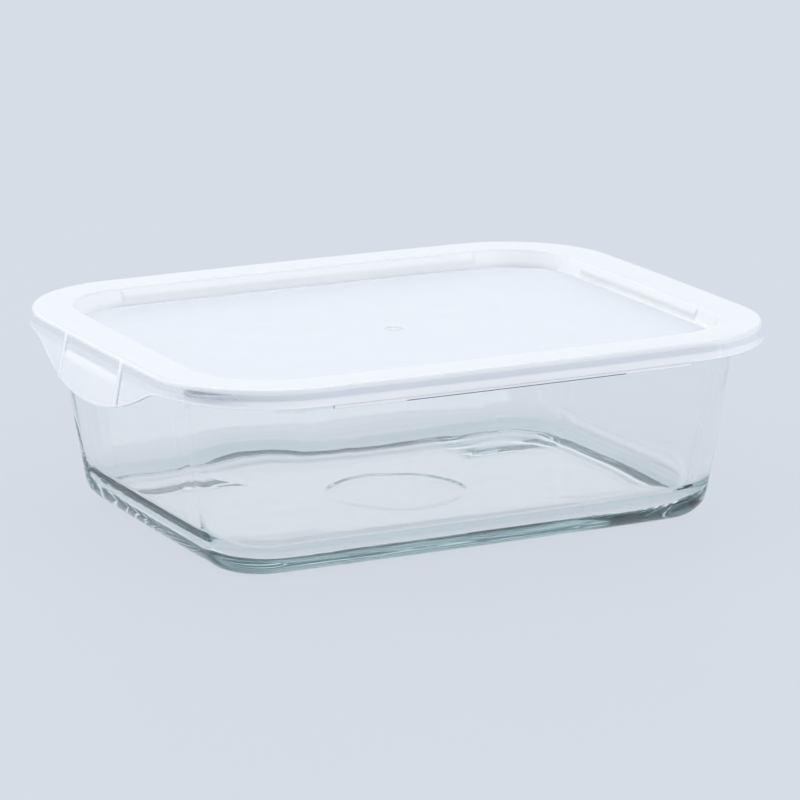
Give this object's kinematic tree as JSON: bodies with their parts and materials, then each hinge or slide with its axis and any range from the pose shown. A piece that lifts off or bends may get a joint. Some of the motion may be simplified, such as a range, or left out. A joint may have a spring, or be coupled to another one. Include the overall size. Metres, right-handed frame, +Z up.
{
  "type": "glass food storage box with lid",
  "caption": "Tapered rectangular clear-glass food box on low corner feet, closed by a soft translucent press-on lid with a sunk stacking panel and a flared pull tab.",
  "frame": {"origin": "middle of the base on the plane of the four feet", "axes": "+X along the length with the pull tab at -X, +Y across, +Z up"},
  "size_m": [0.2086, 0.166, 0.0631],
  "materials": {
    "clear_glass": "clear pressed glass with a faint green tint, fire polished",
    "translucent_plastic": "soft translucent white moulded plastic with a fine satin texture"
  },
  "bodies": {
    "dish": {"glass_dish": "clear_glass"},
    "lid": {"lid": "translucent_plastic"}
  },
  "joints": [
    {"name": "lid_lift", "type": "slide", "parent": "dish", "child": "lid", "axis": [0, 0, 1], "range_m": [0, 0.08]}
  ]
}
